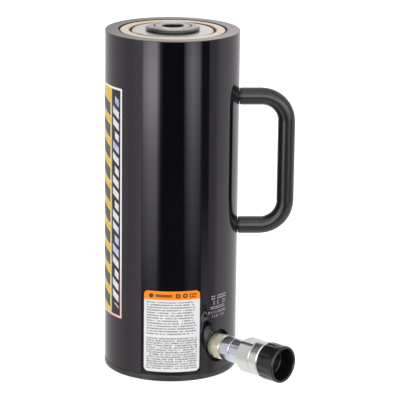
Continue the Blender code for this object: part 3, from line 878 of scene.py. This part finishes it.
def sheet_mesh(name, arc, heights, corner, columns, rows):
    """A thin closed sheet wrapped on the barrel, with rounded corners, and its print laid out in millimetres."""
    inner, outer = BARREL_R + 0.02, BARREL_R + 0.12
    width = math.radians(arc[1] - arc[0]) * outer
    z0, z1 = heights
    us = [0.5 - 0.5 * math.cos(math.pi * i / columns) if corner else i / columns for i in range(columns + 1)]
    bm = bmesh.new()
    layer = bm.loops.layers.uv.new("print")
    grid = {}
    for side, radius in (("in", inner), ("out", outer)):
        for i, u in enumerate(us):
            edge = min(u, 1 - u) * width
            inset = 0.0
            if corner and edge < corner:
                inset = corner - math.sqrt(max(0.0, corner**2 - (corner - edge) ** 2))
            for j in range(rows + 1):
                z = z0 + inset + (z1 - z0 - 2 * inset) * j / rows
                a = math.radians(arc[0]) + u * math.radians(arc[1] - arc[0])
                grid[side, i, j] = bm.verts.new((radius * math.cos(a) * MM, radius * math.sin(a) * MM, z * MM))
                grid[side, i, j].index = 0
    where = {v: ((1 - us[i]) * width if name.startswith("side") else us[i] * width, v.co.z / MM - z0) for (s, i, j), v in grid.items()}

    def face(*vs):
        f = bm.faces.new(vs)
        for loop in f.loops:
            loop[layer].uv = where[loop.vert]

    for i in range(columns):
        for j in range(rows):
            face(grid["out", i, j], grid["out", i + 1, j], grid["out", i + 1, j + 1], grid["out", i, j + 1])
            face(grid["in", i, j], grid["in", i, j + 1], grid["in", i + 1, j + 1], grid["in", i + 1, j])
        face(grid["out", i, 0], grid["in", i, 0], grid["in", i + 1, 0], grid["out", i + 1, 0])
        face(grid["out", i, rows], grid["out", i + 1, rows], grid["in", i + 1, rows], grid["in", i, rows])
    for j in range(rows):
        face(grid["out", 0, j], grid["out", 0, j + 1], grid["in", 0, j + 1], grid["in", 0, j])
        face(grid["out", columns, j], grid["in", columns, j], grid["in", columns, j + 1], grid["out", columns, j + 1])
    bmesh.ops.recalc_face_normals(bm, faces=bm.faces)
    mesh = bpy.data.meshes.new(name)
    bm.to_mesh(mesh)
    bm.free()
    mesh.shade_smooth()
    mesh.set_sharp_from_angle(angle=math.radians(40))
    normals = [n.vector.copy() for n in mesh.corner_normals]
    for f in mesh.polygons:
        if all(math.hypot(*mesh.vertices[i].co[:2]) > (outer - 0.02) * MM for i in f.vertices):
            for corner_ in f.loop_indices:
                co = mesh.vertices[mesh.loops[corner_].vertex_index].co
                normals[corner_] = Vector((co.x, co.y, 0)).normalized()
    mesh.normals_split_custom_set(normals)
    return mesh


place(as_object("side_strip", sheet_mesh("side_strip", SIDE_ARC, SIDE_Z, 0.0, 40, 6)), "side", "side_decal")
place(as_object("front_label", sheet_mesh("front_label", LABEL_ARC, LABEL_Z, 4.5, 60, 4)), "label", "info_label")

# ================================================================ CAD nodes that stay as they are
KEEP = {
    "ring_bearing": "bearing", "piston_bearing": "bearing", "backup_ring": "bearing", "piston_u_cup": "urethane",
    "saddle_o_ring": "rubber", "poppet_seal": "rubber", "spring_anchor_lower": "screw", "spring_anchor_upper": "screw",
    "handle_stud_lower": "screw", "handle_stud_upper": "screw",
}
for node, mat in KEEP.items():
    for slot in frame["nodes"][node].material_slots:
        slot.material = M[mat]

# ================================================================ floor, light and camera
floor_mesh = bpy.data.meshes.new("floor")
fb = bmesh.new()
bmesh.ops.create_grid(fb, x_segments=1, y_segments=1, size=9.0)
fb.to_mesh(floor_mesh)
fb.free()
floor = as_object("floor", floor_mesh, Matrix.Translation((0, 0, -0.0002)))
fm, ft, fs = new_material("floor_white", 0.9, 0.0)
fs.inputs["Base Color"].default_value = (0.90, 0.90, 0.90, 1.0)
fs.inputs["Specular IOR Level"].default_value = 0.0
fs.inputs["Emission Color"].default_value = (1.0, 1.0, 1.0, 1.0)
fs.inputs["Emission Strength"].default_value = 0.62
floor.data.materials.append(fm)
floor.visible_glossy = False

CAMERA_TURN = -2.0  # the camera's place round the part, degrees from -Y towards +X


def ramp(tree, value, stops):
    """A smooth curve through (value, level) stops, held level beyond its ends."""
    n = tree.nodes.new("ShaderNodeFloatCurve")
    curve = n.mapping.curves[0]
    lo, hi = stops[0][0], stops[-1][0]
    top = max(v for _, v in stops)
    for x, v in stops[1:-1]:
        curve.points.new((x - lo) / (hi - lo), v / top)
    curve.points[0].location = (0.0, stops[0][1] / top)
    curve.points[-1].location = (1.0, stops[-1][1] / top)
    for point in curve.points:
        point.handle_type = "VECTOR"
    n.mapping.update()
    put(tree, clamped((value - lo) / (hi - lo)), n.inputs["Value"])
    return E(tree, n.outputs[0]) * top


def studio():
    """A bright room over a pale table: a dark opening in front between two tall softboxes, a wide softbox
    above them, and a dim corner of the ceiling behind on the left."""
    world = bpy.data.worlds.new("studio")
    bpy.context.scene.world = world
    world.use_nodes = True
    tree = world.node_tree
    back = tree.nodes["Background"]
    coords = tree.nodes.new("ShaderNodeTexCoord")
    x, y, z = split(tree, coords.outputs["Generated"])
    az = math_node(tree, "ARCTAN2", x, y * -1.0) * (180.0 / math.pi) - CAMERA_TURN
    az = az - (az.above(180.0)) * 360.0
    el = math_node(tree, "ARCSINE", z) * (180.0 / math.pi)
    leaned = az + clamped(el + 13.8, -4.5, 3.0) * 0.5   # the right-hand softbox leans a little

    def between(lo, hi, soft=0.5, where=None):
        where = where or az
        return smooth(where, lo - soft, lo + soft) * (1.0 - smooth(where, hi - soft, hi + soft))

    walls = ramp(tree, az, [(-180, 0.95), (-75, 0.75), (-50, 1.1), (0, 0.9), (65, 0.5), (80, 0.55), (90, 0.95), (180, 0.95)])
    seams = noise(tree, join(tree, el * 1.4, 0.0, 0.0), 1.0, 3.0)
    wobble = 0.90 + seams * 0.20
    left = ramp(tree, az, [(-53, 0.0), (-50, 0.65), (-38, 1.0), (-27, 1.0), (-20, 0.1), (-15, 0.0)])
    left_fall = ramp(tree, el, [(-17.5, 0.1), (-14.0, 0.45), (-12.0, 1.0), (-11.0, 0.8)]) * 4.3
    right = ramp(tree, leaned, [(20, 0.0), (27, 0.6), (36, 1.0), (48, 0.6), (53, 0.0)])
    right_fall = ramp(tree, el, [(-17.0, 0.1), (-14.0, 0.45), (-11.5, 1.0), (-11.0, 0.8)]) * 2.7
    gap = between(52.5, 67.0, 0.8, leaned)
    in_gap = ramp(tree, el, [(-18.0, 0.7), (-15.0, 0.08), (-8.0, 0.05)])
    opening = between(-52.3, 52.5, 0.7, az * (1.0 - smooth(az, 0.0, 10.0)) + leaned * smooth(az, 0.0, 10.0))
    dark = 0.020 + (1.0 - smooth(el, -16.0, -13.0)) * 0.022
    level = walls * (1.0 - opening) * (1.0 - gap) + gap * in_gap
    level = level + opening * dark + left * left_fall * wobble + right * right_fall * wobble
    # above the opening
    seen = tree.nodes.new("ShaderNodeLightPath")
    camera_ray = E(tree, seen.outputs["Is Camera Ray"])
    soft_ray = E(tree, seen.outputs["Is Diffuse Ray"])
    above = smooth(el, -10.0, -4.0) * (1.0 - smooth(az.abs(), 58.0, 74.0))
    level = level * (1.0 - above) + above * ramp(tree, el, [(-10, 1.2), (12, 3.4), (38, 1.5), (90, 1.1)])
    # the table, shaded in front of the part
    low = 1.0 - smooth(el, -21.0, -19.0)
    shaded = (1.0 - smooth(az.abs(), 26.0, 36.0)) * smooth(el, -60.0, -45.0)
    level = level * (1.0 - low) + low * (1.05 - shaded * 0.35)
    # the far wall
    across = math_node(tree, "SINE", az * (math.pi / 180.0))
    far = (1.0 - smooth(180.0 - az.abs(), 8.0, 24.0)) * smooth(el, 2.0, 9.0) * (1.0 - smooth(el, 12.0, 18.0))
    glow = smooth(el, 10.3, 11.0)
    level = level * (1.0 - far) + far * (0.86 + clamped(across * 6.0, -0.21, 0.21)) * (0.92 + glow * 0.28)
    # the dim corner
    dim = between(-158.0, -84.0, 6.0) * smooth(el, 24.0, 32.0) * (1.0 - smooth(el, 58.0, 68.0))
    level = level * (1.0 - dim) + dim * 0.20
    level = level * (1.0 - soft_ray * 0.50)
    cool = clamped(right * 0.35 + dim + opening * 0.2)
    tint = blend_colour(tree, cool * (1.0 - above), (1.0, 0.968, 1.0), (0.88, 0.95, 1.12))
    tint = blend_colour(tree, far * glow, tint, (1.05, 0.98, 0.95))
    tint = blend_colour(tree, camera_ray, tint, (1.0, 1.0, 1.0))
    tree.links.new(tint, back.inputs["Color"])
    put(tree, level * (1.0 - camera_ray) + camera_ray, back.inputs["Strength"])


studio()


def area(name, at, aim, size, energy, glossy=False):
    data = bpy.data.lights.new(name, "AREA")
    data.shape = "RECTANGLE"
    data.size, data.size_y = size
    data.energy = energy
    light = bpy.data.objects.new(name, data)
    bpy.context.scene.collection.objects.link(light)
    light.location = at
    light.rotation_euler = (Vector(aim) - Vector(at)).to_track_quat("-Z", "Y").to_euler()
    light.visible_glossy = glossy
    return light


area("key_soft", (-1.1, -2.5, 2.0), (0, 0, 0.15), (1.6, 1.2), 9.0)
area("fill_soft", (1.6, -1.9, 1.6), (0, 0, 0.15), (1.2, 1.2), 5.0)
area("top_soft", (0.0, 0.3, 2.6), (0, 0, 0.3), (1.4, 1.4), 10.0)

cam_data = bpy.data.cameras.new("camera")
cam_data.sensor_width = 36.0
cam_data.lens = 199.62
cam_data.clip_start = 0.1
cam_data.clip_end = 60.0
camera = bpy.data.objects.new("camera", cam_data)
bpy.context.scene.collection.objects.link(camera)
yaw, pitch, roll = (math.radians(a) for a in (0.767, 15.064, 0.684))
ahead = Vector((math.sin(yaw) * math.cos(pitch), math.cos(yaw) * math.cos(pitch), -math.sin(pitch)))
right = Vector((math.cos(yaw), -math.sin(yaw), 0.0))
up = right.cross(ahead)
r2 = right * math.cos(roll) + up * math.sin(roll)
u2 = up * math.cos(roll) - right * math.sin(roll)
pose = Matrix((r2, u2, -ahead)).transposed().to_4x4()
pose.translation = Vector((0.0, -2.11564, 0.73634))
camera.matrix_world = Matrix.Rotation(math.radians(CAMERA_TURN), 4, "Z") @ pose
bpy.context.scene.camera = camera

bpy.context.scene.view_settings.view_transform = "Standard"
bpy.context.scene.view_settings.look = "None"

bpy.context.view_layer.update()
